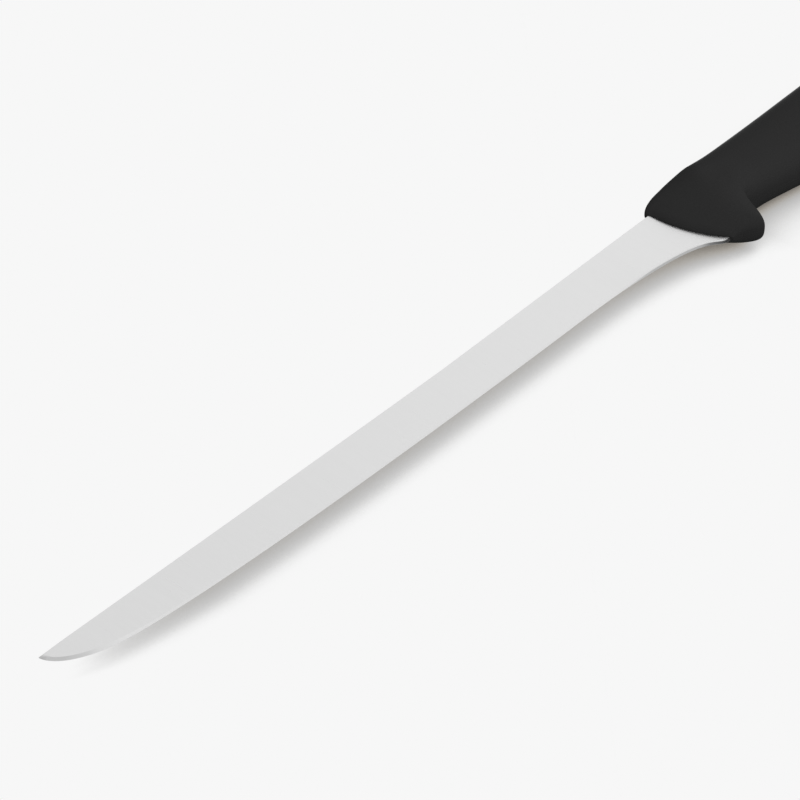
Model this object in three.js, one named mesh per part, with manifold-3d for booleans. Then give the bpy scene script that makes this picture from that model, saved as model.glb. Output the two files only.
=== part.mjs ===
import * as THREE from "three";
import { mergeVertices } from "three/addons/utils/BufferGeometryUtils.js";
import Module from "manifold-3d";

// A ham knife lying on its side: a narrow steel blade, stamped in one piece with its tang, and a plastic
// handle moulded round the tang. Sizes are in millimetres.
// It is drawn with the spine meeting the handle at x = 0, y = 0. The tip points to -X, the butt to +X and
// the spine to +Y, and the middle plane of the blade is z = 0. The last lines set it down on its side.

// Blade outline
const bladeLength = 240; // from the tip to the handle
const bladeWidth = 15.02; // in front of the heel
const tipRise = 3.6; // of the tip over the straight spine
const spineStraight = 88.5; // length of straight spine in front of the handle
const spinePower = 1.14; // how gently the spine leaves the straight
const tipLength = 17; // of the rounded end of the edge
const tipDepth = 7.79; // of the edge under the spine line where that rounding begins
const tipSlope = 0.215; // of the edge there
const tipRun = 0.8; // how far the edge runs back as it leaves the tip
const tipFall = 5.47; // how far it falls meanwhile
const tipEase = 7.77; // how far in front of the rounding's end it takes on the slope
const bellyEase = 0.186; // share of the edge over which it loses that slope
const edgeEase = 0.05; // share of the edge over which it comes to lie straight
const heelStart = 51.4; // where the edge begins to flare, in front of the handle
const heelInset = 0.75; // of the heel's corner behind the handle's lip
const heelFlare = 8.81; // of the heel's corner under the edge
const flareEase = 1.07; // share of the flare over which it leaves the edge's line
const heelEase = 0.15; // share of the flare over which it levels out at the corner

// Blade section
const stock = 1.4; // sheet that the blade is stamped from
const tipStock = 0.8; // spine thickness left near the tip
const pointLength = 9; // over which the spine thins from there to the point
const grindEnd = 16; // in front of the handle: from here to the butt the sheet is unground
const grindRun = 17; // over which the grind of the flanks runs out
const bevelStock = 0.36; // thickness where the edge bevel begins
const edgeStock = 0.06; // thickness left at the edge
const edgeBevel = 0.7; // width of the edge bevel
const tipBevel = 1.3; // width of the edge bevel round the tip
const bevelStart = 8.5; // behind the tip: where the bevel begins to narrow
const bevelRun = 25.5; // over which it narrows
const tipBlunt = 0.02; // share of the rounded tip that the point stops short of

// Tang
const neckLength = 8; // over which the blade narrows to the tang
const tangDrop = 4.6; // of the tang's upper side under the spine line
const tangCover = 2.7; // plastic between the tang's lower side and the belly of the grip
const tangCorner = 3; // chamfer of the tang's end
const lockRadius = 3; // of the holes that the handle grips through
const lockFront = 25; // of the first hole behind the neck
const lockRear = 30; // of the second hole in front of the tang's end

// Handle, measured from its front lip at the spine
const handleLength = 137;
const buttWall = 19; // plastic behind the tang
const clearance = 0.3; // round the tang
const lipWall = 1.1; // plastic beside the blade at the front lip
const lipOver = 0.55; // plastic over the spine there
const lipUnder = 0.25; // plastic under the heel there
const lipSweep = 8.45; // how far the lip leans back at the belly
const lipPower = 2.25; // how late that lean begins
const leanReach = 35; // where the lean has died out
const backNoseLength = 15; // over which the back rises from the lip
const backNose = 1.76; // roundness of that rise
const sideNoseLength = 20; // over which the sides swell from the lip
const sideNose = 1.3; // roundness of that swelling
const backHeight = 3; // of the back over the spine line
const backSwell = 1.5; // of the back near the front
const backSwellPlace = 10.2;
const guardDrop = 4.02; // of the finger guard under the lip
const guardPlace = 18.4; // where the guard is deepest
const guardEnd = 23.6; // where the grip begins behind it
const gripDepth = 18.1; // of the belly behind the guard
const palmDepth = 23.3; // of the belly under the palm
const palmPlace = 60;
const beakDrop = 4; // of the belly at the butt
const buttDrop = 3; // of the back at the butt
const beakLength = 38;
const buttRound = 11; // length of the rounded butt
const buttPower = 2.4; // roundness of the butt
const waistHalf = 7.6; // half thickness of the waist
const frontSwell = 1.1; // of the sides near the front
const frontSwellPlace = 16;
const palmSwell = 0.8; // of the sides under the palm
const swellReach = 18; // of the swellings near the front
const palmStart = 40; // where the sides begin to swell under the palm
const palmEnd = 85; // where they have swollen
const sideFlat = 0.2; // taken off the swollen sides, so that the knife lies on them
const gripPower = 2.6; // squareness of the handle's section
const lipSquare = 1.5; // how much squarer the section is at the lip
const lipSquareReach = 10;

// Fineness of the meshes
const tipSteps = 14;
const edgeSteps = 24;
const flareSteps = 16;
const neckSteps = 4;
const tangSteps = 6;
const lockSides = 24;
const sectionSteps = 18; // of the handle's section, from back to belly
const noseSteps = 9;
const noseSpread = 1.8; // how much closer the front rings lie at the lip
const guardLead = 3; // how far in front of the guard's lowest point close rings begin
const guardTail = 4; // how far behind the guard they go on
const guardSteps = 14;
const gripSteps = 18;
const buttSteps = 9;
const buttCap = 0.9; // share of a quarter turn after which the butt is cut flat

const { smoothstep, lerp } = THREE.MathUtils;
const wasm = await Module();
wasm.setup();

// A closed skin over rings of points. A ring runs from the back over the +Z side to the belly and returns
// on the -Z side, point k mirroring point n - k, so straight strips along Z close the two ends.
function loft(rings) {
  const n = rings[0].length;
  const index = [];
  for (let i = 0; i < rings.length - 1; i++) {
    for (let k = 0; k < n; k++) {
      const a = i * n + k;
      const b = i * n + ((k + 1) % n);
      index.push(a, b, b + n, a, b + n, a + n);
    }
  }
  const last = (rings.length - 1) * n;
  for (let k = 0; k < n / 2; k++) {
    const far = (n - k) % n;
    const next = n - k - 1;
    if (k > 0) {
      index.push(k, far, k + 1);
      index.push(last + far, last + k, last + k + 1);
    }
    if (k + 1 < next) {
      index.push(k + 1, far, next);
      index.push(last + far, last + k + 1, last + next);
    }
  }
  return new THREE.BufferGeometry().setFromPoints(rings.flat()).setIndex(index);
}

function toSolid(geometry) {
  geometry.deleteAttribute("normal");
  geometry.deleteAttribute("uv");
  const merged = mergeVertices(geometry);
  const vertProperties = merged.attributes.position.array;
  const triVerts = new Uint32Array(merged.index.array);
  return new wasm.Manifold(new wasm.Mesh({ numProp: 3, vertProperties, triVerts }));
}

function toGeometry(solid) {
  const mesh = solid.getMesh();
  const geometry = new THREE.BufferGeometry();
  geometry.setAttribute("position", new THREE.BufferAttribute(mesh.vertProperties, 3));
  geometry.setIndex(new THREE.BufferAttribute(mesh.triVerts, 1));
  geometry.computeVertexNormals();
  return geometry;
}

function point(x, y) {
  return new THREE.Vector2(x, y);
}

// Blade

const heelEnd = lipSweep + heelInset;
const heelDepth = bladeWidth + heelFlare;
const neckBack = heelEnd + neckLength;
const tangEnd = handleLength - buttWall;
const tangBottom = gripDepth - tangCover;
const lockPlaces = [neckBack + lockFront, tangEnd - lockRear];

// The spine, and behind it the neck and the upper side of the tang.
function upperLine(x) {
  const sweep = Math.max(0, (-x - spineStraight) / (bladeLength - spineStraight));
  const neck = tangDrop * smoothstep(x, 0, neckLength);
  const corner = Math.max(0, x - (tangEnd - tangCorner));
  return tipRise * sweep ** spinePower - neck - corner;
}

// The edge from the tip to the heel's corner, and behind it the neck and the lower side of the tang, as
// curves with the number of steps along each.
const tip = point(-bladeLength, tipRise);
const roundingEnd = point(tipLength - bladeLength, -tipDepth);
const flareStart = point(-heelStart, -bladeWidth);
const heelCorner = point(heelEnd, -heelDepth);
const neckEnd = point(neckBack, -tangBottom);
const tangCornerStart = point(tangEnd - tangCorner, -tangBottom);
const tangTip = point(tangEnd, tangCorner - tangBottom);
const edgeRun = flareStart.x - roundingEnd.x;
const flareRun = heelCorner.x - flareStart.x;
const lowerLine = [
  {
    steps: tipSteps,
    curve: new THREE.CubicBezierCurve(
      tip,
      point(tip.x + tipRun, tip.y - tipFall),
      point(roundingEnd.x - tipEase, roundingEnd.y + tipEase * tipSlope),
      roundingEnd,
    ),
  },
  {
    steps: edgeSteps,
    curve: new THREE.CubicBezierCurve(
      roundingEnd,
      point(roundingEnd.x + bellyEase * edgeRun, roundingEnd.y - bellyEase * edgeRun * tipSlope),
      point(flareStart.x - edgeEase * edgeRun, flareStart.y),
      flareStart,
    ),
  },
  {
    steps: flareSteps,
    curve: new THREE.CubicBezierCurve(
      flareStart,
      point(flareStart.x + flareEase * flareRun, flareStart.y),
      point(heelCorner.x - heelEase * flareRun, heelCorner.y),
      heelCorner,
    ),
  },
  { steps: neckSteps, curve: new THREE.LineCurve(heelCorner, neckEnd) },
  { steps: tangSteps, curve: new THREE.LineCurve(neckEnd, tangCornerStart) },
  { steps: 1, curve: new THREE.LineCurve(tangCornerStart, tangTip) },
];

// One ring of the blade over a point of its lower line. Ground flanks run from the spine to the bevel and
// the bevel runs to the edge; on unground sheet both lie in the face of the sheet.
function bladeRing(low, tangent, grow) {
  const ground = 1 - smoothstep(low.x, -grindEnd - grindRun, -grindEnd);
  const fromTip = low.x + bladeLength;
  const taper = lerp(tipStock, stock, Math.min(1, fromTip / (bladeLength - grindEnd)));
  const pointed = Math.sqrt(Math.min(1, fromTip / pointLength));
  const spineHalf = (taper * pointed) / 2;
  const bevelHalf = lerp(spineHalf, Math.min(bevelStock / 2, spineHalf), ground) + grow;
  const edgeHalf = lerp(spineHalf, Math.min(edgeStock / 2, spineHalf), ground) + grow;
  const high = upperLine(low.x);
  const bevelFade = smoothstep(fromTip, bevelStart, bevelStart + bevelRun);
  const bevel = Math.min(lerp(tipBevel, edgeBevel, bevelFade), (high - low.y) / 2);
  const shoulder = point(low.x - tangent.y * bevel, low.y + tangent.x * bevel);
  const half = spineHalf + grow;
  return [
    new THREE.Vector3(low.x, high + grow, 0),
    new THREE.Vector3(low.x, high + grow, half),
    new THREE.Vector3(shoulder.x, shoulder.y, bevelHalf),
    new THREE.Vector3(low.x, low.y - grow, edgeHalf),
    new THREE.Vector3(low.x, low.y - grow, 0),
    new THREE.Vector3(low.x, low.y - grow, -edgeHalf),
    new THREE.Vector3(shoulder.x, shoulder.y, -bevelHalf),
    new THREE.Vector3(low.x, high + grow, -half),
  ];
}

// Rings of the blade behind x = start, grown all round for the pocket that takes it.
function bladeRings(start, grow) {
  const rings = [];
  const add = (curve, share) => {
    const low = curve.getPoint(share);
    if (low.x > start) {
      rings.push(bladeRing(low, curve.getTangent(share), grow));
    }
  };
  add(lowerLine[0].curve, tipBlunt);
  for (const { steps, curve } of lowerLine) {
    for (let k = 1; k <= steps; k++) {
      add(curve, k / steps);
    }
  }
  rings.at(-1).forEach((corner) => (corner.x += grow));
  return rings;
}

// A round pin across the tang, long enough to pass its pocket on both sides.
function lockPin(x, radius) {
  const length = 2 * (stock + 2 * clearance);
  const pin = new THREE.CylinderGeometry(radius, radius, length, lockSides);
  pin.rotateX(Math.PI / 2);
  pin.translate(x, -(tangDrop + tangBottom) / 2, 0);
  return toSolid(pin);
}

function makeBlade() {
  let blank = toSolid(loft(bladeRings(-bladeLength, 0)));
  for (const x of lockPlaces) {
    blank = blank.subtract(lockPin(x, lockRadius));
  }
  const steel = new THREE.MeshStandardMaterial({ color: 0xd8d8d9, roughness: 0.38, metalness: 1 });
  const blade = new THREE.Mesh(toGeometry(blank), steel);
  blade.name = "blade";
  return blade;
}

// Handle

const lipHalf = stock / 2 + clearance + lipWall;
const lipBack = clearance + lipOver;
const lipDepth = heelDepth + clearance + lipUnder;
const guardDepth = lipDepth + guardDrop;
const restHalf = waistHalf + Math.min(frontSwell, palmSwell) - sideFlat;

// A soft hump of height 1, over "reach" to each side of "place".
function hump(x, place, reach) {
  return Math.max(0, 1 - ((x - place) / reach) ** 2) ** 2;
}

// From 0 at the lip to 1 where the front has swollen.
function nose(s, length, power) {
  const left = 1 - Math.min(1, s / length);
  return (1 - left ** power) ** (1 / power);
}

function backLine(s) {
  const full = backHeight + backSwell * hump(s, backSwellPlace, swellReach);
  const drop = buttDrop * smoothstep(s, handleLength - beakLength, handleLength);
  return lerp(lipBack, full, nose(s, backNoseLength, backNose)) - drop;
}

function bellyLine(x) {
  const guard = lerp(lipDepth, guardDepth, smoothstep(x, lipSweep, guardPlace));
  const palm = lerp(gripDepth, palmDepth, smoothstep(x, guardEnd, palmPlace));
  const beak = beakDrop * smoothstep(x, handleLength - beakLength, handleLength - buttRound / 2);
  return -lerp(guard, palm + beak, smoothstep(x, guardPlace, guardEnd));
}

function sideHalf(s) {
  const front = frontSwell * hump(s, frontSwellPlace, swellReach);
  const palm = palmSwell * smoothstep(s, palmStart, palmEnd);
  return lerp(lipHalf, waistHalf + front + palm, nose(s, sideNoseLength, sideNose));
}

// One ring of the handle, s behind the lip: a rounded box between back and belly, flat at the sides where
// it swells past restHalf, and leaning back towards the belly as the lip does.
function handleRing(s) {
  const lean = lipSweep * (1 - smoothstep(s, 0, leanReach));
  const back = backLine(s);
  const belly = bellyLine(s + lean);
  const side = sideHalf(s);
  const power = gripPower + lipSquare * (1 - smoothstep(s, 0, lipSquareReach));
  const past = Math.max(0, (s - (handleLength - buttRound)) / buttRound);
  const close = (1 - past ** buttPower) ** (1 / buttPower);
  const ring = [];
  for (let k = 0; k < 2 * sectionSteps; k++) {
    const turn = (Math.PI * k) / sectionSteps;
    const up = Math.sign(Math.cos(turn)) * Math.abs(Math.cos(turn)) ** (2 / power);
    const out = Math.sign(Math.sin(turn)) * Math.abs(Math.sin(turn)) ** (2 / power);
    const y = (back + belly) / 2 + (close * up * (back - belly)) / 2;
    const z = THREE.MathUtils.clamp(side * out, -restHalf, restHalf) * close;
    const low = (1 - up) / 2;
    ring.push(new THREE.Vector3(s + lean * low ** lipPower, y, z));
  }
  return ring;
}

function handleStations() {
  const stations = [];
  const guardStart = guardPlace - lipSweep - guardLead;
  const gripStart = guardEnd + guardTail;
  const gripEnd = handleLength - buttRound;
  for (let i = 0; i < noseSteps; i++) {
    stations.push(guardStart * (i / noseSteps) ** noseSpread);
  }
  for (let i = 0; i < guardSteps; i++) {
    stations.push(lerp(guardStart, gripStart, i / guardSteps));
  }
  for (let i = 0; i < gripSteps; i++) {
    stations.push(lerp(gripStart, gripEnd, i / gripSteps));
  }
  for (let i = 0; i <= buttSteps; i++) {
    const turn = (Math.PI / 2) * buttCap * (i / buttSteps);
    stations.push(gripEnd + buttRound * Math.sin(turn));
  }
  return stations;
}

function makeHandle() {
  let pocket = toSolid(loft(bladeRings(-heelStart, clearance)));
  for (const x of lockPlaces) {
    pocket = pocket.subtract(lockPin(x, lockRadius - clearance));
  }
  const body = toSolid(loft(handleStations().map(handleRing))).subtract(pocket);
  const plastic = new THREE.MeshStandardMaterial({ color: 0x2a2a2a, roughness: 0.55, metalness: 0 });
  const handle = new THREE.Mesh(toGeometry(body), plastic);
  handle.name = "handle";
  return handle;
}

// The knife set down on its side, with the middle of its footprint at the origin.
const knife = new THREE.Group();
knife.add(makeBlade(), makeHandle());
const box = new THREE.Box3().setFromObject(knife);
const middle = box.getCenter(new THREE.Vector3());
knife.position.set(-middle.x, -middle.y, -box.min.z);

const part = new THREE.Group();
part.add(knife);

export default part;
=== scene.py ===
import math

import bpy
import numpy as np
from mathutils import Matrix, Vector


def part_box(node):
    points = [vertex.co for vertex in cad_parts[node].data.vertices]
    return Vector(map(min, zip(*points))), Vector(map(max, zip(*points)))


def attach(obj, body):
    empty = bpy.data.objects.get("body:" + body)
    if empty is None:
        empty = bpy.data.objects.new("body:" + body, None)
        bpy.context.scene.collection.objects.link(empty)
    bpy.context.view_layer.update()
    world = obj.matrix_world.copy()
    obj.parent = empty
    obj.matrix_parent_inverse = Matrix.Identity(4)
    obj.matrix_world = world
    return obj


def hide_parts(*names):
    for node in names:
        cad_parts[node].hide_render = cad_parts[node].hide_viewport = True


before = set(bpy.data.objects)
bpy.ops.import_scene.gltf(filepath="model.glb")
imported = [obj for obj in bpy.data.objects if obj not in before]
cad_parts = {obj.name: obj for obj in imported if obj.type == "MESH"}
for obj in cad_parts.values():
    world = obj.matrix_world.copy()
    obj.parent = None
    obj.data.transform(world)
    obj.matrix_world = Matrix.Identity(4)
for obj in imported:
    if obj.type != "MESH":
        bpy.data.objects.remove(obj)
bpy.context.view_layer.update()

mm = 0.001  # the shapes are worked out in millimetres and put into the meshes in metres
sceneNow = bpy.context.scene
print("frame loaded, nodes:", sorted(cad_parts))


# Small tools for all pieces

# Rises from 0 at x = start to 1 at x = end along 3t^2 - 2t^3.
def smooth(x, start, end):
    t = np.clip((x - start) / (end - start), 0, 1)
    return t * t * (3 - 2 * t)


# Straight blend from a to b.
def blend(a, b, t):
    return a + (b - a) * t


# A soft hump of height 1: (1 - u^2)^2, where u is the distance from its place over its reach.
def hump(x, place, reach):
    return np.clip(1 - ((x - place) / reach) ** 2, 0, None) ** 2


# Cubic curve over four points and its unit tangent, at every t at once.
def cubic(t, points):
    p = np.array(points, float)
    t = t[:, None]
    u = 1 - t
    place = u**3 * p[0] + 3 * u * u * t * p[1] + 3 * u * t * t * p[2] + t**3 * p[3]
    speed = u * u * (p[1] - p[0]) + 2 * u * t * (p[2] - p[1]) + t * t * (p[3] - p[2])
    return place, speed / np.linalg.norm(speed, axis=1, keepdims=True)


# A closed mesh over a grid of points, rows of rings. Each ring runs from the back over the +Z side to the
# belly and returns on the -Z side, so point k mirrors point n - k, and strips along Z close both ends.
def skin(name, grid):
    rows, n = grid.shape[:2]
    a = np.arange((rows - 1) * n).reshape(rows - 1, n)
    b = np.roll(a, -1, axis=1)
    side = np.stack([a, b, b + n, a + n], -1).reshape(-1, 4)
    k = np.arange(1, n // 2 - 1)
    front = np.stack([k, n - k, n - k - 1, k + 1], -1)
    ends = np.array([[0, n - 1, 1], [n // 2 - 1, n // 2 + 1, n // 2]])
    last = (rows - 1) * n
    quads = np.concatenate([side, front, front[:, ::-1] + last])
    corners = np.concatenate([ends, ends[:, ::-1] + last])
    mesh = bpy.data.meshes.new(name)
    mesh.vertices.add(rows * n)
    mesh.vertices.foreach_set("co", (grid * mm).astype(np.float32).ravel())
    loops = np.concatenate([quads.ravel(), corners.ravel()])
    mesh.loops.add(len(loops))
    mesh.loops.foreach_set("vertex_index", loops.astype(np.int32))
    mesh.polygons.add(len(quads) + len(corners))
    starts = np.concatenate([np.arange(len(quads)) * 4, quads.size + np.arange(len(corners)) * 3])
    mesh.polygons.foreach_set("loop_start", starts.astype(np.int32))
    mesh.update(calc_edges=True)
    mesh.validate()
    mesh.shade_smooth()
    piece = bpy.data.objects.new(name, mesh)
    sceneNow.collection.objects.link(piece)
    return piece


# Keeps the edges along the given columns of the grid sharp, on top of those that bend by more than the
# angle in degrees.
def crease(piece, n, columns, angle):
    mesh = piece.data
    mesh.set_sharp_from_angle(angle=math.radians(angle))
    pairs = np.zeros(len(mesh.edges) * 2, np.int32)
    mesh.edges.foreach_get("vertices", pairs)
    column = pairs.reshape(-1, 2) % n
    along = (column[:, 0] == column[:, 1]) & np.isin(column[:, 0], columns)
    sharp = np.zeros(len(mesh.edges), bool)
    mesh.edges.foreach_get("use_edge_sharp", sharp)
    mesh.edges.foreach_set("use_edge_sharp", sharp | along)


# A node with its settings and its input values.
def addNode(tree, kind, settings=None, **values):
    made = tree.nodes.new(kind)
    for key, value in (settings or {}).items():
        setattr(made, key, value)
    for key, value in values.items():
        made.inputs[key.replace("_", " ")].default_value = value
    return made


# A material that holds one Principled shader.
def newMaterial(name):
    material = bpy.data.materials.new(name)
    material.use_nodes = True
    tree = material.node_tree
    tree.nodes.clear()
    shader = addNode(tree, "ShaderNodeBsdfPrincipled")
    output = addNode(tree, "ShaderNodeOutputMaterial")
    tree.links.new(shader.outputs["BSDF"], output.inputs["Surface"])
    return material, tree, shader


noiseLow = 0.3  # nearly all of a noise lies between these two
noiseHigh = 0.7


# Noise on object coordinates, stretched by a scale for each axis in features a metre.
def stretchedNoise(tree, scale, detail, roughness=0.5):
    place = addNode(tree, "ShaderNodeTexCoord")
    stretch = addNode(tree, "ShaderNodeMapping", Scale=scale)
    noise = addNode(tree, "ShaderNodeTexNoise", Scale=1.0, Detail=detail, Roughness=roughness)
    tree.links.new(place.outputs["Object"], stretch.inputs["Vector"])
    tree.links.new(stretch.outputs["Vector"], noise.inputs["Vector"])
    return noise.outputs["Fac"]


# A straight map of a number from one range to another.
def mapRange(tree, value, low, high, toLow, toHigh):
    made = addNode(tree, "ShaderNodeMapRange")
    tree.links.new(value, made.inputs["Value"])
    made.inputs["From Min"].default_value = low
    made.inputs["From Max"].default_value = high
    made.inputs["To Min"].default_value = toLow
    made.inputs["To Max"].default_value = toHigh
    return made.outputs["Result"]


# Blade

# The blade lies in the drawing's own place: the spine meets the handle at 0, 0, the tip points to -X and
# the middle plane of the sheet is z = 0. Sizes in millimetres.
bladeShape = {
    "length": 240.0,
    "width": 15.02,
    "tipRise": 3.6,
    "spineStraight": 88.5,
    "spinePower": 1.14,
    "tipLength": 17.0,
    "tipDepth": 7.79,
    "tipSlope": 0.215,
    "tipRun": 0.8,
    "tipFall": 5.47,
    "tipEase": 7.77,
    "tipBlunt": 0.02,
    "bellyEase": 0.186,
    "edgeEase": 0.05,
    "heelStart": 51.4,
    "heelEnd": 9.2,
    "heelFlare": 8.81,
    "flareEase": 1.07,
    "heelEase": 0.15,
    "stock": 1.4,
    "tipStock": 0.8,
    "pointLength": 9.0,
    "grindEnd": 16.0,
    "grindRun": 17.0,
    "bevelStock": 0.36,
    "edgeStock": 0.06,
    "edgeBevel": 0.7,
    "tipBevel": 1.3,
    "bevelStart": 8.5,
    "bevelRun": 25.5,
    # painted reflection: how much darker or lighter the bevel is than the flank, by the distance from the
    # tip
    "bevelPaintedReflection": ((0, -0.24), (4, -0.24), (9, -0.13), (12, -0.01), (20, 0.06), (45, 0.03), (90, 0.02)),
    "pointPaintedShade": -0.35,  # painted shade: the very point is painted darker on its flanks too
    "pointPaintedShadeEnd": 2.0,
    "spineEase": 0.14,  # rounding of the spine's corners
    "edgeRound": 0.4,  # rounding of the sheet's lower corners, where it isn't ground
    # painted shade on the sheet's lower side in the corner under the lip, by the distance behind the lip
    "heelPaintedShade": ((-2, 0), (0.5, 0.12), (1.8, 0.35), (2.9, 0.58), (5, 0.76), (7, 0.97)),
    "cornerPaintedShade": (5.5, 8.0),  # and where the painted shade reaches the corner over it too
    "neckLength": 8.0,
    "tangDrop": 4.6,
    "tangBottom": 15.4,
    "tangEnd": 118.0,
    "tangCorner": 3.0,
    "tipSteps": 96,  # points along each stretch of the lower line
    "edgeSteps": 190,
    "heelSteps": 120,
    "neckSteps": 24,
    "tangSteps": 40,
    "tangCornerSteps": 6,
    "tipCrowding": 1.5,  # points lie closer together towards the tip
    "cornerPoints": 6,  # on each rounded corner of the ring
    "flankShares": (0.01, 0.04, 0.1, 0.2, 0.32, 0.44, 0.56, 0.68, 0.8, 0.9, 0.96, 0.995, 1),
    "bevelShares": (0.02, 0.25, 0.5, 0.75, 0.95),
    "easeOfStock": 0.6,  # most that the corners take of the half thickness and of the depth
    "easeOfDepth": 0.2,
    "roundOfEdge": 0.5,
    "creaseAngle": 35.0,
}


# Height of the spine over the drawing's zero, and behind the handle's lip that of the tang's upper side.
def spineLine(x, b):
    sweep = np.clip((-x - b["spineStraight"]) / (b["length"] - b["spineStraight"]), 0, None)
    neck = b["tangDrop"] * smooth(x, 0, b["neckLength"])
    corner = np.clip(x - (b["tangEnd"] - b["tangCorner"]), 0, None)
    return b["tipRise"] * sweep ** b["spinePower"] - neck - corner


# A straight line as the four points of a cubic curve.
def straight(start, end):
    return [start, blend(start, end, 1 / 3), blend(start, end, 2 / 3), end]


# The edge from tip to heel as three cubic curves, then neck and tang as straight lines, with unit tangents.
def edgeLine(b):
    tip = np.array([-b["length"], b["tipRise"]])
    rounding = np.array([b["tipLength"] - b["length"], -b["tipDepth"]])
    flare = np.array([-b["heelStart"], -b["width"]])
    heel = np.array([b["heelEnd"], -b["width"] - b["heelFlare"]])
    slope = np.array([1, -b["tipSlope"]])
    level = np.array([1, 0])
    edgeRun = flare[0] - rounding[0]
    flareRun = heel[0] - flare[0]
    neckEnd = np.array([b["heelEnd"] + b["neckLength"], -b["tangBottom"]])
    cornerStart = np.array([b["tangEnd"] - b["tangCorner"], -b["tangBottom"]])
    tangTip = cornerStart + b["tangCorner"]
    tipStart = tip + np.array([b["tipRun"], -b["tipFall"]])
    tipEnd = rounding - b["tipEase"] * slope
    edgeStart = rounding + b["bellyEase"] * edgeRun * slope
    edgeEnd = flare - b["edgeEase"] * edgeRun * level
    flareStart = flare + b["flareEase"] * flareRun * level
    flareEnd = heel - b["heelEase"] * flareRun * level
    curves = [
        (b["tipSteps"], [tip, tipStart, tipEnd, rounding]),
        (b["edgeSteps"], [rounding, edgeStart, edgeEnd, flare]),
        (b["heelSteps"], [flare, flareStart, flareEnd, heel]),
        (b["neckSteps"], straight(heel, neckEnd)),
        (b["tangSteps"], straight(neckEnd, cornerStart)),
        (b["tangCornerSteps"], straight(cornerStart, tangTip)),
    ]
    places, tangents = [], []
    for number, (steps, points) in enumerate(curves):
        t = np.arange(1, steps + 1) / steps
        if number == 0:
            t = blend(b["tipBlunt"], 1, (np.arange(steps + 1) / steps) ** b["tipCrowding"])
        place, tangent = cubic(t, points)
        places.append(place)
        tangents.append(tangent)
    return np.concatenate(places), np.concatenate(tangents)


# Ring of the blade over each point of the edge: half of it goes from the middle of the spine round an eased
# corner, down the straight flank to the bevel's shoulder, down the bevel and round the edge; the other half
# mirrors it. On ground steel the flank leans in to the bevel, on the bare sheet both lie in its face. With
# the rings come the shoulder's columns and, for each point, the bevel's painted reflection, the share of
# sheared sheet and the share of painted shade in the corner under the lip.
def bladeGrid(b):
    low, tangent = edgeLine(b)
    x = low[:, 0]
    ground = 1 - smooth(x, -b["grindEnd"] - b["grindRun"], -b["grindEnd"])
    fromTip = x + b["length"]
    taper = blend(b["tipStock"], b["stock"], np.clip(fromTip / (b["length"] - b["grindEnd"]), 0, 1))
    spineHalf = taper * np.sqrt(np.clip(fromTip / b["pointLength"], 0, 1)) / 2
    bevelHalf = blend(spineHalf, np.minimum(b["bevelStock"] / 2, spineHalf), ground)
    edgeHalf = blend(spineHalf, np.minimum(b["edgeStock"] / 2, spineHalf), ground)
    high = spineLine(x, b)
    narrow = smooth(fromTip, b["bevelStart"], b["bevelStart"] + b["bevelRun"])
    bevel = np.minimum(blend(b["tipBevel"], b["edgeBevel"], narrow), (high - low[:, 1]) / 2)
    shoulder = low + bevel[:, None] * np.stack([-tangent[:, 1], tangent[:, 0]], -1)
    easeLimit = np.minimum(b["easeOfStock"] * spineHalf, b["easeOfDepth"] * (high - low[:, 1]))
    ease = np.minimum(b["spineEase"], easeLimit)
    edgeRound = np.minimum(b["edgeRound"], b["roundOfEdge"] * edgeHalf)

    def gridColumn(px, py, pz):
        return np.stack([px, py, pz], -1)

    quarter = np.linspace(0, math.pi / 2, b["cornerPoints"])
    flankTop = gridColumn(x, high - ease, spineHalf)
    flankEnd = gridColumn(shoulder[:, 0], shoulder[:, 1], bevelHalf)
    bevelEnd = gridColumn(x, low[:, 1] + edgeRound, edgeHalf)
    half = [gridColumn(x, high, f * (spineHalf - ease)) for f in (0, 0.5)]
    half += [
        gridColumn(x, high - ease * (1 - math.cos(q)), spineHalf - ease * (1 - math.sin(q)))
        for q in quarter
    ]
    half += [blend(flankTop, flankEnd, f) for f in b["flankShares"]]
    shoulderColumn = len(half) - 1
    half += [blend(flankEnd, bevelEnd, f) for f in b["bevelShares"]]
    bevelColumns = np.arange(shoulderColumn, len(half) + 1)
    half += [
        gridColumn(x, low[:, 1] + edgeRound * (1 - math.sin(q)), edgeHalf - edgeRound * (1 - math.cos(q)))
        for q in quarter
    ]
    half += [gridColumn(x, low[:, 1], f * (edgeHalf - edgeRound)) for f in (0.5, 0)]
    half = np.stack(half, 1)
    other = half[:, -2:0:-1] * np.array([1, 1, -1])
    grid = np.concatenate([half, other], 1)
    n = grid.shape[1]
    column = np.minimum(np.arange(n), n - np.arange(n))
    onBevel = np.isin(column, bevelColumns)
    onCorner = column > bevelColumns[-1]
    onSide = column > bevelColumns[-1] + len(quarter) // 2
    # painted reflection on the bevel, and painted shade on the point's flanks
    shade = onBevel[None, :] * (ground * np.interp(fromTip, *zip(*b["bevelPaintedReflection"])))[:, None]
    point = b["pointPaintedShade"] * (1 - smooth(fromTip, 0, b["pointPaintedShadeEnd"]))
    shade = np.minimum(shade, np.where(point < 0, point, 1)[:, None])
    sheared = onSide[None, :] * (1 - ground)[:, None]
    # painted shade under the lip, on the sheet's side and on the corner over it
    paintedShade = onSide[None, :] * np.interp(x, *zip(*b["heelPaintedShade"]))[:, None]
    paintedShade = np.maximum(paintedShade, onCorner[None, :] * smooth(x, *b["cornerPaintedShade"])[:, None])
    return grid, [shoulderColumn, n - shoulderColumn], shade, sheared, paintedShade


bladeLow, bladeHigh = (np.array(corner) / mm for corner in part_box("blade"))
handleLow, handleHigh = (np.array(corner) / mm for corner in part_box("handle"))
heelDepth = bladeShape["width"] + bladeShape["heelFlare"]
drawingZero = np.array([handleLow[0], bladeLow[1] + heelDepth, (bladeLow[2] + bladeHigh[2]) / 2])

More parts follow.
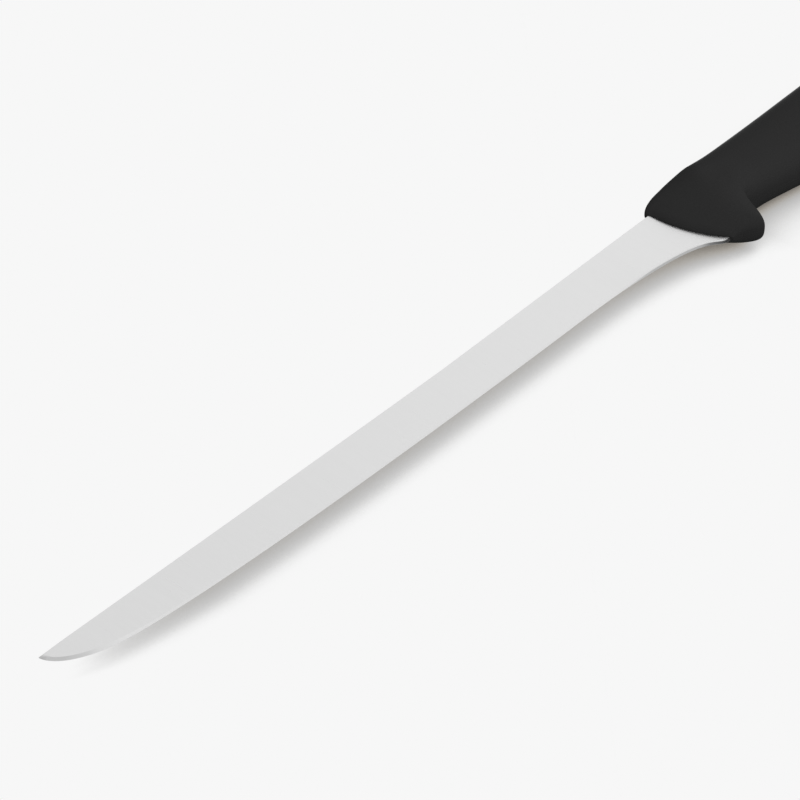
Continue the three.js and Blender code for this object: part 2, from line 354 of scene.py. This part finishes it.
bladePoints, shoulderColumns, bevelPaintedReflection, shearedSide, paintedShadeSide = bladeGrid(bladeShape)
bladePoints = np.clip(bladePoints + drawingZero, bladeLow, bladeHigh)
blade = skin("blade_steel", bladePoints)
crease(blade, bladePoints.shape[1], shoulderColumns, bladeShape["creaseAngle"])
# the bevel's painted reflection and the painted shade under the lip go into layers beside the sheared side
bladeLayers = {"bevelPaintedReflection": bevelPaintedReflection, "shearedSide": shearedSide, "paintedShadeSide": paintedShadeSide}
for layerName, values in bladeLayers.items():
    layer = blade.data.attributes.new(layerName, "FLOAT", "POINT")
    layer.data.foreach_set("value", values.astype(np.float32).ravel())
print("blade made,", len(blade.data.polygons), "faces")


# Handle

# Sizes in millimetres behind the lip, in the same drawing as the blade.
handleShape = {
    "length": handleHigh[0] - handleLow[0],
    "clearance": 0.02,  # between plastic and steel
    "lipHalf": 0.95,
    "lipBack": 0.85,
    "lipDepth": 24.38,
    "lipSweep": 8.45,
    "lipPower": 2.25,
    "lipRound": 0.1,
    "lipRoll": 0.8,  # height and length of the round bead along the lip
    "rollLength": 2.0,
    "lipSet": 0.45,  # how far the lip steps back from the spine's corner
    "setShare": 0.12,
    "leanReach": 35.0,
    "backNoseLength": 15.0,
    "backNose": 2.1,
    "sideNoseLength": 20.0,
    "sideNose": 1.3,
    "backHeight": 3.75,
    "backSwell": 0.6,
    "backSwellPlace": 10.2,
    "guardDepth": 28.4,
    "guardPlace": 18.3,
    "guardEnd": 23.5,
    "guardHalf": 5.5,  # half thickness of the guard, before its sides run out into the grip
    "guardTail": 4.5,  # and at its rear
    "tailStart": 15.0,
    "tailEnd": 21.0,
    "fairEnd": 30.0,
    "gripDepth": 18.4,
    "palmDepth": 23.3,
    "palmPlace": 60.0,
    "beakDrop": 4.0,
    "buttDrop": 3.0,
    "beakLength": 38.0,
    "buttRound": 11.0,
    "buttPower": 2.4,
    "waistHalf": 7.6,
    "frontSwell": 1.1,
    "frontSwellPlace": 16.0,
    "palmSwell": 0.8,
    "swellReach": 18.0,
    "palmStart": 40.0,
    "palmEnd": 85.0,
    "restHalf": (handleHigh[2] - handleLow[2]) / 2,
    "flatEase": 0.2,  # how softly the flats that it lies on run out
    "gripPower": 2.6,
    "backPower": 2.3,  # the back of the grip is rounder than its belly
    "backRoundStart": 8.0,
    "backRoundEnd": 30.0,
    "guardSquare": 0.35,
    "guardReach": 12.0,
    "lipSquare": 1.5,
    "lipSquareReach": 10.0,
    "seamHeight": 0.05,  # of the mould's parting line
    "seamWidth": 0.12,
    "sheenFront": 0.31,  # of the back, set to the light line that shows along it
    "sheenRear": 0.84,
    "sheenStart": 26.0,
    "sheenEnd": 42.0,
    "sheenDrop": 8.0,  # it fades out this far below the spine's line
    "seamStart": 0.5,  # behind the lip, where it begins to rise and where it is full
    "seamFull": 3.0,
    "seamSteps": (0, 0.05, 0.1, 0.15, 0.22, 0.32, 0.5, 0.8),  # distances from the seam with a point
    "turnSteps": 44,  # further points on each quarter of a ring
    "lipRows": 7,
    "faceRows": 6,
    "noseEnd": 30.0,  # rings lie closer together up to here, and closest at the lip
    "noseRows": 130,
    "noseCrowding": 1.4,
    "gripRows": 130,
    "buttRows": 60,
    "buttClosed": 0.985,  # share of the butt's rounding before its end face
    "pocketRows": 60,
    "pocketCrowding": 1.5,
    "pocketSquare": 2.5,  # how soon the pocket reaches the sheet's thickness
    "slotRounds": 8,
    "creaseAngle": 50.0,
}


# From 0 at the lip to 1 where the front has swollen: (1 - (1 - t)^p)^(1/p).
def nose(s, length, power):
    left = 1 - np.clip(s / length, 0, 1)
    return (1 - left**power) ** (1 / power)


# Line of the back, s behind the lip: rises from the lip, swells, and drops at the butt.
def backLine(s, h):
    full = h["backHeight"] + h["backSwell"] * hump(s, h["backSwellPlace"], h["swellReach"])
    drop = h["buttDrop"] * smooth(s, h["length"] - h["beakLength"], h["length"])
    return blend(h["lipBack"], full, nose(s, h["backNoseLength"], h["backNose"])) - drop


# Two lines of the belly at x. At the middle plane it deepens from the lip to the finger guard, rises to the
# grip and deepens under the palm and at the butt; the sides run from the lip to the grip without the guard.
def bellyLines(x, h):
    guard = blend(h["lipDepth"], h["guardDepth"], smooth(x, h["lipSweep"], h["guardPlace"]))
    palm = blend(h["gripDepth"], h["palmDepth"], smooth(x, h["guardEnd"], h["palmPlace"]))
    beak = h["beakDrop"] * smooth(x, h["length"] - h["beakLength"], h["length"] - h["buttRound"] / 2)
    middle = blend(guard, palm + beak, smooth(x, h["guardPlace"], h["guardEnd"]))
    sides = blend(h["lipDepth"], palm + beak, smooth(x, h["lipSweep"], h["fairEnd"]))
    return -middle, -sides


# Half thickness s behind the lip: a bead at the lip, then the swelling front, the waist and the palm.
def sideLine(s, h):
    front = h["frontSwell"] * hump(s, h["frontSwellPlace"], h["swellReach"])
    palm = h["palmSwell"] * smooth(s, h["palmStart"], h["palmEnd"])
    lip = h["lipHalf"] + h["lipRoll"] * nose(s, h["rollLength"], 2)
    return blend(lip, h["waistHalf"] + front + palm, nose(s, h["sideNoseLength"], h["sideNose"]))


# How far the lip leans back at a share of the way from back to belly: sweep times the share to a power, and
# a short step at the back.
def lipLean(share, h):
    return h["lipSweep"] * share ** h["lipPower"] + h["lipSet"] * smooth(share, 0, h["setShare"])


# Turns of the section's points, from the back (0) to the belly (pi), closer together along the seam.
def sectionTurns(side, power, seamSteps, turnSteps):
    seam = np.array(seamSteps)[None, :] / side[:, None]
    first = np.arcsin(seam ** (power[:, None] / 2))
    rest = blend(first[:, -1:], math.pi / 2, np.arange(1, turnSteps + 1)[None, :] / turnSteps)
    upper = np.concatenate([first, rest], 1)
    return np.concatenate([upper, math.pi - upper[:, -2::-1]], 1)


# Rings of the handle's outside, s behind the lip: |y|^p + |z|^p = 1 between back and belly, rounder above
# than below, flat at the sides where it swells past restHalf, faired past the guard, which thins to its
# rear, drawn in by "inset" at the lip's rounding and closed at the butt.
def handleRings(s, inset, h):
    leaning = 1 - smooth(s, 0, h["leanReach"])
    back = backLine(s, h) - inset
    bellyX = s + leaning * lipLean(1, h)
    middle, sides = bellyLines(bellyX, h)
    belly = middle + inset
    side = sideLine(s, h) - inset
    square = h["lipSquare"] * (1 - smooth(s, 0, h["lipSquareReach"]))
    past = np.clip((s - (h["length"] - h["buttRound"])) / h["buttRound"], 0, 1)
    close = (1 - past ** h["buttPower"]) ** (1 / h["buttPower"])
    rounder = smooth(s, h["backRoundStart"], h["backRoundEnd"])
    backPower = blend(h["gripPower"], h["backPower"], rounder) + square
    bellyPower = h["gripPower"] + h["guardSquare"] * hump(bellyX, h["guardPlace"], h["guardReach"]) + square
    turn = sectionTurns(side, backPower, h["seamSteps"], h["turnSteps"])
    power = np.where(np.cos(turn) > 0, backPower[:, None], bellyPower[:, None])
    up = np.sign(np.cos(turn)) * np.abs(np.cos(turn)) ** (2 / power)
    out = np.abs(np.sin(turn)) ** (2 / power)
    out[:, [0, -1]] = 0
    half = ((back - belly) / 2)[:, None]
    flat = h["flatEase"]
    z = -flat * np.logaddexp(-side[:, None] * out / flat, -h["restHalf"] / flat)
    z = np.clip(z + flat * np.log1p(np.exp(-h["restHalf"] / flat)), 0, h["restHalf"])
    seamRise = h["seamHeight"] * smooth(s, h["seamStart"], h["seamFull"])[:, None]
    seam = seamRise * np.exp(-((z / h["seamWidth"]) ** 2))
    thin = blend(h["guardHalf"], h["guardTail"], smooth(bellyX, h["tailStart"], h["tailEnd"]))[:, None]
    fair = (sides - middle)[:, None] * smooth(z, thin, h["restHalf"]) * np.clip(-up, 0, 1)
    y = ((back + belly) / 2)[:, None] + close[:, None] * (half * up + np.sign(up) * seam + fair)
    x = s[:, None] + leaning[:, None] * lipLean((1 - up) / 2, h)
    upper = np.stack([x, y, z * close[:, None]], -1)
    return upper, up, out


# Pocket that the tang fills: from the slot in the lip to the tang's end, each row between the blade's upper
# and lower lines. The slot's points lie on the lip's slant, found by taking height and slant in turns.
def pocketGrid(up, out, b, h):
    edge = edgeLine(b)[0]
    gap = h["clearance"]
    share = (1 - up) / 2
    y = -share * heelDepth
    for turn in range(h["slotRounds"]):
        slotX = lipLean(np.clip((h["lipBack"] - y) / (h["lipBack"] + h["lipDepth"]), 0, 1), h)
        y = blend(spineLine(slotX, b) + gap, np.interp(slotX, edge[:, 0], edge[:, 1]) - gap, share)
    depth = np.linspace(1, 0, h["pocketRows"])[:, None] ** h["pocketCrowding"]
    x = blend(slotX[None, :], b["tangEnd"] + gap, depth)
    y = blend(spineLine(x, b) + gap, np.interp(x, edge[:, 0], edge[:, 1]) - gap, share[None, :])
    z = np.broadcast_to((b["stock"] / 2 + gap) * np.clip(h["pocketSquare"] * out, 0, 1), x.shape)
    return np.stack([x, y, z], -1)


# The whole skin: tang's end, pocket, slot, front face of the lip, rounded lip, outside, butt.
def handleGrid(b, h):
    lipTurn = np.linspace(0, math.pi / 2, h["lipRows"])
    lipS = h["lipRound"] * (1 - np.cos(lipTurn))
    lipInset = h["lipRound"] * (1 - np.sin(lipTurn))
    noseShares = np.linspace(0, 1, h["noseRows"])[1:] ** h["noseCrowding"]
    noseS = blend(h["lipRound"], h["noseEnd"], noseShares)
    gripEnd = h["length"] - h["buttRound"]
    gripS = blend(h["noseEnd"], gripEnd, np.linspace(0, 1, h["gripRows"])[1:])
    buttTurn = np.linspace(0, h["buttClosed"] * math.pi / 2, h["buttRows"])[1:]
    buttS = gripEnd + h["buttRound"] * np.sin(buttTurn)
    s = np.concatenate([lipS, noseS, gripS, buttS])
    inset = np.concatenate([lipInset, np.zeros(len(noseS) + len(gripS) + len(buttS))])
    outside, up, out = handleRings(s, inset, h)
    pocket = pocketGrid(up[0], out[0], b, h)
    face = blend(pocket[-1][None], outside[0][None], np.linspace(0, 1, h["faceRows"])[1:-1, None, None])
    upper = np.concatenate([pocket, face, outside])
    under = upper[:, -2:0:-1] * np.array([1, 1, -1])
    return np.concatenate([upper, under], 1)


# Sheen of the back: grows from front to rear by smooth steps and fades out below the spine's line.
def backSheen(points, h):
    along = blend(h["sheenFront"], h["sheenRear"], smooth(points[..., 0], h["sheenStart"], h["sheenEnd"]))
    return along * smooth(points[..., 1], -h["sheenDrop"], 0)


handlePoints = np.clip(handleGrid(bladeShape, handleShape) + drawingZero, handleLow, handleHigh)
handle = skin("handle_plastic", handlePoints)
crease(handle, handlePoints.shape[1], [], handleShape["creaseAngle"])
sheenLayer = backSheen(handlePoints - drawingZero, handleShape)
layer = handle.data.attributes.new("backSheen", "FLOAT", "POINT")
layer.data.foreach_set("value", sheenLayer.astype(np.float32).ravel())
print("handle made,", len(handle.data.polygons), "faces")


# Finishes

steelFinish = {
    "colour": (0.73, 0.73, 0.73),
    "roughness": 0.3,
    "shearedColour": (0.5, 0.5, 0.5),
    "shearedRoughness": 0.3,
    # colour of the painted shade in the corner under the lip
    "paintedShadeColour": (0.02, 0.02, 0.02),
    "lineScale": (5200.0, 90.0, 90.0),  # fine grind across the blade, features a metre
    "broadScale": (700.0, 30.0, 30.0),
    "lineDepth": 0.000004,
    "lineRelief": 0.12,
    "fineDetail": 3.0,
    "fineRoughness": 0.6,
    "broadDetail": 2.0,
    "broadShare": 0.35,
    "lineShade": 0.015,  # how much the lines move the colour and the roughness, each way
    "lineRoughness": 0.03,
}


# Ground steel: fine lines across the blade move the colour and the gloss a little, and a coarser band of
# lines lies under them. Painted reflection makes the point and the bevel round the tip darker and the bevel
# behind it a shade lighter; the sheared side of the sheet under the heel is greyer, painted dark under the
# lip.
def makeSteel(f):
    material, tree, shader = newMaterial("groundSteel")
    link = tree.links.new
    fine = stretchedNoise(tree, f["lineScale"], f["fineDetail"], f["fineRoughness"])
    broad = stretchedNoise(tree, f["broadScale"], f["broadDetail"])
    lines = addNode(tree, "ShaderNodeMix", {"data_type": "FLOAT"})
    lines.inputs["Factor"].default_value = f["broadShare"]
    link(fine, lines.inputs["A"])
    link(broad, lines.inputs["B"])
    darkest, lightest = 1 - f["lineShade"], 1 + f["lineShade"]
    shade = mapRange(tree, lines.outputs["Result"], noiseLow, noiseHigh, darkest, lightest)
    # painted reflection of the bevel, added to the lines' tone
    bevel = addNode(tree, "ShaderNodeAttribute", {"attribute_name": "bevelPaintedReflection"})
    sheared = addNode(tree, "ShaderNodeAttribute", {"attribute_name": "shearedSide"})
    both = addNode(tree, "ShaderNodeMath", {"operation": "ADD"})
    link(shade, both.inputs[0])
    link(bevel.outputs["Fac"], both.inputs[1])
    metal = addNode(tree, "ShaderNodeMix", {"data_type": "RGBA"})
    metal.inputs["A"].default_value = (*f["colour"], 1)
    metal.inputs["B"].default_value = (*f["shearedColour"], 1)
    link(sheared.outputs["Fac"], metal.inputs["Factor"])
    # painted shade under the lip: the metal is mixed towards a near-black colour
    paintedShade = addNode(tree, "ShaderNodeAttribute", {"attribute_name": "paintedShadeSide"})
    paintedShadeMetal = addNode(tree, "ShaderNodeMix", {"data_type": "RGBA"})
    paintedShadeMetal.inputs["B"].default_value = (*f["paintedShadeColour"], 1)
    link(paintedShade.outputs["Fac"], paintedShadeMetal.inputs["Factor"])
    link(metal.outputs["Result"], paintedShadeMetal.inputs["A"])
    tint = addNode(tree, "ShaderNodeMix", {"data_type": "RGBA", "blend_type": "MULTIPLY"})
    tint.inputs["Factor"].default_value = 1
    link(paintedShadeMetal.outputs["Result"], tint.inputs["A"])
    link(both.outputs["Value"], tint.inputs["B"])
    link(tint.outputs["Result"], shader.inputs["Base Color"])
    smoothest, roughest = f["roughness"] - f["lineRoughness"], f["roughness"] + f["lineRoughness"]
    rough = mapRange(tree, lines.outputs["Result"], noiseLow, noiseHigh, smoothest, roughest)
    dull = addNode(tree, "ShaderNodeMix", {"data_type": "FLOAT"})
    link(sheared.outputs["Fac"], dull.inputs["Factor"])
    link(rough, dull.inputs["A"])
    dull.inputs["B"].default_value = f["shearedRoughness"]
    link(dull.outputs["Result"], shader.inputs["Roughness"])
    relief = addNode(tree, "ShaderNodeBump", Strength=f["lineRelief"], Distance=f["lineDepth"])
    link(fine, relief.inputs["Height"])
    link(relief.outputs["Normal"], shader.inputs["Normal"])
    shader.inputs["Metallic"].default_value = 1
    return material


plasticFinish = {
    "colour": (0.0298, 0.0298, 0.0298),
    "roughness": 0.8,
    "specular": 0.001,
    "sheenRoughness": 0.2,
    "grainScale": (2600.0, 2600.0, 2600.0),  # moulded grain, features a metre
    "grainDepth": 0.00003,
    "grainRelief": 0.3,
    "grainDetail": 2.0,
    "grainShade": 0.07,  # how much the grain moves the colour, each way
    "cloudScale": (60.0, 60.0, 60.0),
    "cloudDetail": 3.0,
    "cloudRoughness": 0.05,
}


# Moulded black plastic: fine spark-eroded grain in relief and in the colour, soft clouds in the gloss, and
# a sheen on the back.
def makePlastic(f):
    material, tree, shader = newMaterial("mouldedBlack")
    link = tree.links.new
    grain = stretchedNoise(tree, f["grainScale"], f["grainDetail"])
    clouds = stretchedNoise(tree, f["cloudScale"], f["cloudDetail"])
    relief = addNode(tree, "ShaderNodeBump", Strength=f["grainRelief"], Distance=f["grainDepth"])
    link(grain, relief.inputs["Height"])
    link(relief.outputs["Normal"], shader.inputs["Normal"])
    smoothest, roughest = f["roughness"] - f["cloudRoughness"], f["roughness"] + f["cloudRoughness"]
    rough = mapRange(tree, clouds, noiseLow, noiseHigh, smoothest, roughest)
    link(rough, shader.inputs["Roughness"])
    shade = mapRange(tree, grain, noiseLow, noiseHigh, 1 - f["grainShade"], 1 + f["grainShade"])
    tint = addNode(tree, "ShaderNodeMix", {"data_type": "RGBA", "blend_type": "MULTIPLY"})
    tint.inputs["Factor"].default_value = 1
    tint.inputs["A"].default_value = (*f["colour"], 1)
    link(shade, tint.inputs["B"])
    link(tint.outputs["Result"], shader.inputs["Base Color"])
    shader.inputs["Specular IOR Level"].default_value = f["specular"]
    sheen = addNode(tree, "ShaderNodeAttribute", {"attribute_name": "backSheen"})
    link(sheen.outputs["Fac"], shader.inputs["Sheen Weight"])
    shader.inputs["Sheen Roughness"].default_value = f["sheenRoughness"]
    return material


for piece, node, slotName, material in (
    (blade, "blade", "blade_steel", makeSteel(steelFinish)),
    (handle, "handle", "handle_plastic", makePlastic(plasticFinish)),
):
    piece.data.materials.append(material)
    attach(piece, "root")
    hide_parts(node)
print("finishes set")


# Studio and camera

cameraView = {
    "azimuth": -47.85,
    "elevation": 42.4,
    "distance": 1000.0,
    "target": (-106.26, 0.66, 0.0),  # in the knife's drawing
    "lens": 164.34,
    "sensor": 36.0,
}

studio = {
    "pale": 0.93,  # brightness of the background
    "domeLow": 0.0,  # brightness of the tent away from its brightest spot and at it
    "domeHigh": 1.36,
    "domePower": 0.65,  # how fast it falls off from there
    "domeTilt": 32.0,  # of that spot from straight up
    "domeAzimuth": -59.0,  # and the side that it tilts to, from +X towards +Y
    "bounce": 0.4,  # share of the light that the floor sends back to the knife
    "floorSize": 8.0,
    "shadeReach": 0.4,  # metres round a point of the floor that can shade it
    "shadeSamples": 16,
    "tipShare": (12.0, 1.24, 52.0, 1.0),  # the painted floor shadow is lighter round the tip, at distances from it
    "heelShare": (-8.0, 1.0, 6.0, 1.1),  # a little lighter under the heel, at distances behind the lip
    "gripShare": (14.0, 1.0, 26.0, 0.77),  # darker behind the guard
    "backShare": (0.0, 1.15, -10.0, 1.0),  # and lighter behind the handle's back
    "shade": (  # painted floor shadow: share of the tent that a point of the floor sees, and the colour it shows
        (0.0, (0.05, 0.042, 0.034)),
        (0.1, (0.13, 0.125, 0.115)),
        (0.18, (0.266, 0.24, 0.208)),
        (0.26, (0.419, 0.399, 0.368)),
        (0.36, (0.487, 0.485, 0.483)),
        (0.46, (0.572, 0.57, 0.567)),
        (0.56, (0.707, 0.704, 0.701)),
        (0.63, (0.816, 0.816, 0.815)),
        (0.71, (0.93, 0.93, 0.93)),
    ),
}

softBox = {
    "azimuth": 20.0,  # from +X towards +Y, behind the handle as seen from the camera
    "elevation": 33.0,
    "distance": 1.2,
    "width": 1.0,
    "height": 0.8,
    "power": 0.27,
}


# 1 for rays that see the backdrop itself: from the camera, or in gloss or glass.
def seenDirectly(tree):
    path = addNode(tree, "ShaderNodeLightPath")
    first = addNode(tree, "ShaderNodeMath", {"operation": "MAXIMUM"})
    second = addNode(tree, "ShaderNodeMath", {"operation": "MAXIMUM"})
    tree.links.new(path.outputs["Is Camera Ray"], first.inputs[0])
    tree.links.new(path.outputs["Is Glossy Ray"], first.inputs[1])
    tree.links.new(first.outputs["Value"], second.inputs[0])
    tree.links.new(path.outputs["Is Transmission Ray"], second.inputs[1])
    return second.outputs["Value"]


# Pale floor: plain matt white for bounced light; where it is seen it glows with a painted shadow, from
# shade to paper white by how much of the light tent a point sees, times shares that change along X and Y
# near the knife.
def makeFloor(f):
    half = f["floorSize"] / 2
    mesh = bpy.data.meshes.new("floor")
    corners = [(-half, -half, 0), (half, -half, 0), (half, half, 0), (-half, half, 0)]
    mesh.from_pydata(corners, [], [(0, 1, 2, 3)])
    floor = bpy.data.objects.new("floor", mesh)
    sceneNow.collection.objects.link(floor)
    material = bpy.data.materials.new("paleFloor")
    material.use_nodes = True
    tree = material.node_tree
    tree.nodes.clear()
    link = tree.links.new
    matt = addNode(tree, "ShaderNodeBsdfDiffuse", Color=(f["bounce"], f["bounce"], f["bounce"], 1))
    sky = addNode(tree, "ShaderNodeAmbientOcclusion", Distance=f["shadeReach"])
    sky.samples = f["shadeSamples"]
    ramp = addNode(tree, "ShaderNodeValToRGB")
    while len(ramp.color_ramp.elements) < len(f["shade"]):
        ramp.color_ramp.elements.new(1)
    for stop, (position, colour) in zip(ramp.color_ramp.elements, f["shade"]):
        stop.position = position
        stop.color = (*colour, 1)
    glow = addNode(tree, "ShaderNodeEmission", Strength=1)
    pick = addNode(tree, "ShaderNodeMixShader")
    output = addNode(tree, "ShaderNodeOutputMaterial")
    place = addNode(tree, "ShaderNodeTexCoord")
    axes = addNode(tree, "ShaderNodeSeparateXYZ")
    link(place.outputs["Object"], axes.inputs["Vector"])
    # painted shadow: the share of the tent that a point sees, scaled by the shares below
    share = sky.outputs["AO"]
    shares = (
        ("X", bladeLow[0], f["tipShare"]),
        ("X", handleLow[0], f["heelShare"]),
        ("X", handleLow[0], f["gripShare"]),
        ("Y", handleHigh[1], f["backShare"]),
    )
    for axis, zero, (near, atNear, far, atFar) in shares:
        part = addNode(tree, "ShaderNodeMath", {"operation": "MULTIPLY"})
        link(share, part.inputs[0])
        nearPlace, farPlace = (zero + near) * mm, (zero + far) * mm
        link(mapRange(tree, axes.outputs[axis], nearPlace, farPlace, atNear, atFar), part.inputs[1])
        share = part.outputs["Value"]
    link(share, ramp.inputs["Fac"])
    link(ramp.outputs["Color"], glow.inputs["Color"])
    link(seenDirectly(tree), pick.inputs[0])
    link(matt.outputs["BSDF"], pick.inputs[1])
    link(glow.outputs["Emission"], pick.inputs[2])
    link(pick.outputs["Shader"], output.inputs["Surface"])
    mesh.materials.append(material)
    return floor


# Light tent: a dome that brightens towards a spot nearly overhead by the cosine from it to a power, and the
# pale background where it is seen.
def makeTent(f):
    world = bpy.data.worlds.new("lightTent")
    world.use_nodes = True
    tree = world.node_tree
    tree.nodes.clear()
    link = tree.links.new
    place = addNode(tree, "ShaderNodeTexCoord")
    tilt, azimuth = math.radians(f["domeTilt"]), math.radians(f["domeAzimuth"])
    brightest = (math.cos(azimuth) * math.sin(tilt), math.sin(azimuth) * math.sin(tilt), math.cos(tilt))
    towards = addNode(tree, "ShaderNodeVectorMath", {"operation": "DOT_PRODUCT"})
    towards.inputs[1].default_value = brightest
    link(place.outputs["Generated"], towards.inputs[0])
    light = addNode(tree, "ShaderNodeBackground", Color=(1, 1, 1, 1))
    fall = addNode(tree, "ShaderNodeMath", {"operation": "POWER"})
    link(mapRange(tree, towards.outputs["Value"], 0, 1, 0, 1), fall.inputs[0])
    fall.inputs[1].default_value = f["domePower"]
    link(mapRange(tree, fall.outputs["Value"], 0, 1, f["domeLow"], f["domeHigh"]), light.inputs["Strength"])
    backdrop = addNode(tree, "ShaderNodeBackground", Color=(f["pale"], f["pale"], f["pale"], 1), Strength=1)
    pick = addNode(tree, "ShaderNodeMixShader")
    output = addNode(tree, "ShaderNodeOutputWorld")
    link(seenDirectly(tree), pick.inputs[0])
    link(light.outputs["Background"], pick.inputs[1])
    link(backdrop.outputs["Background"], pick.inputs[2])
    link(pick.outputs["Shader"], output.inputs["Surface"])
    sceneNow.world = world


# One large soft box at the given bearing, turned towards the knife.
def makeSoftBox(b):
    azimuth, elevation = math.radians(b["azimuth"]), math.radians(b["elevation"])
    away = Vector((
        math.cos(azimuth) * math.cos(elevation),
        math.sin(azimuth) * math.cos(elevation),
        math.sin(elevation),
    ))
    data = bpy.data.lights.new("softBox", "AREA")
    data.shape = "RECTANGLE"
    data.size = b["width"]
    data.size_y = b["height"]
    data.energy = b["power"]
    box = bpy.data.objects.new("softBox", data)
    box.location = away * b["distance"]
    box.rotation_euler = away.to_track_quat("Z", "Y").to_euler()
    box.visible_camera = False
    sceneNow.collection.objects.link(box)


makeFloor(studio)
makeTent(studio)
makeSoftBox(softBox)
print("studio set")


# Stands on the line from the target at the given azimuth and elevation and looks back along it, level.
def makeCamera(v):
    azimuth, elevation = math.radians(v["azimuth"]), math.radians(v["elevation"])
    back = Vector((
        math.sin(azimuth) * math.cos(elevation),
        -math.cos(azimuth) * math.cos(elevation),
        math.sin(elevation),
    ))
    target = Vector((np.array(v["target"]) + drawingZero) * mm)
    data = bpy.data.cameras.new("camera")
    data.lens = v["lens"]
    data.sensor_width = v["sensor"]
    camera = bpy.data.objects.new("camera", data)
    camera.location = target + back * v["distance"] * mm
    camera.rotation_euler = (math.pi / 2 - elevation, 0, azimuth)
    sceneNow.collection.objects.link(camera)
    sceneNow.camera = camera


makeCamera(cameraView)
sceneNow.view_settings.view_transform = "Standard"
print("camera set")
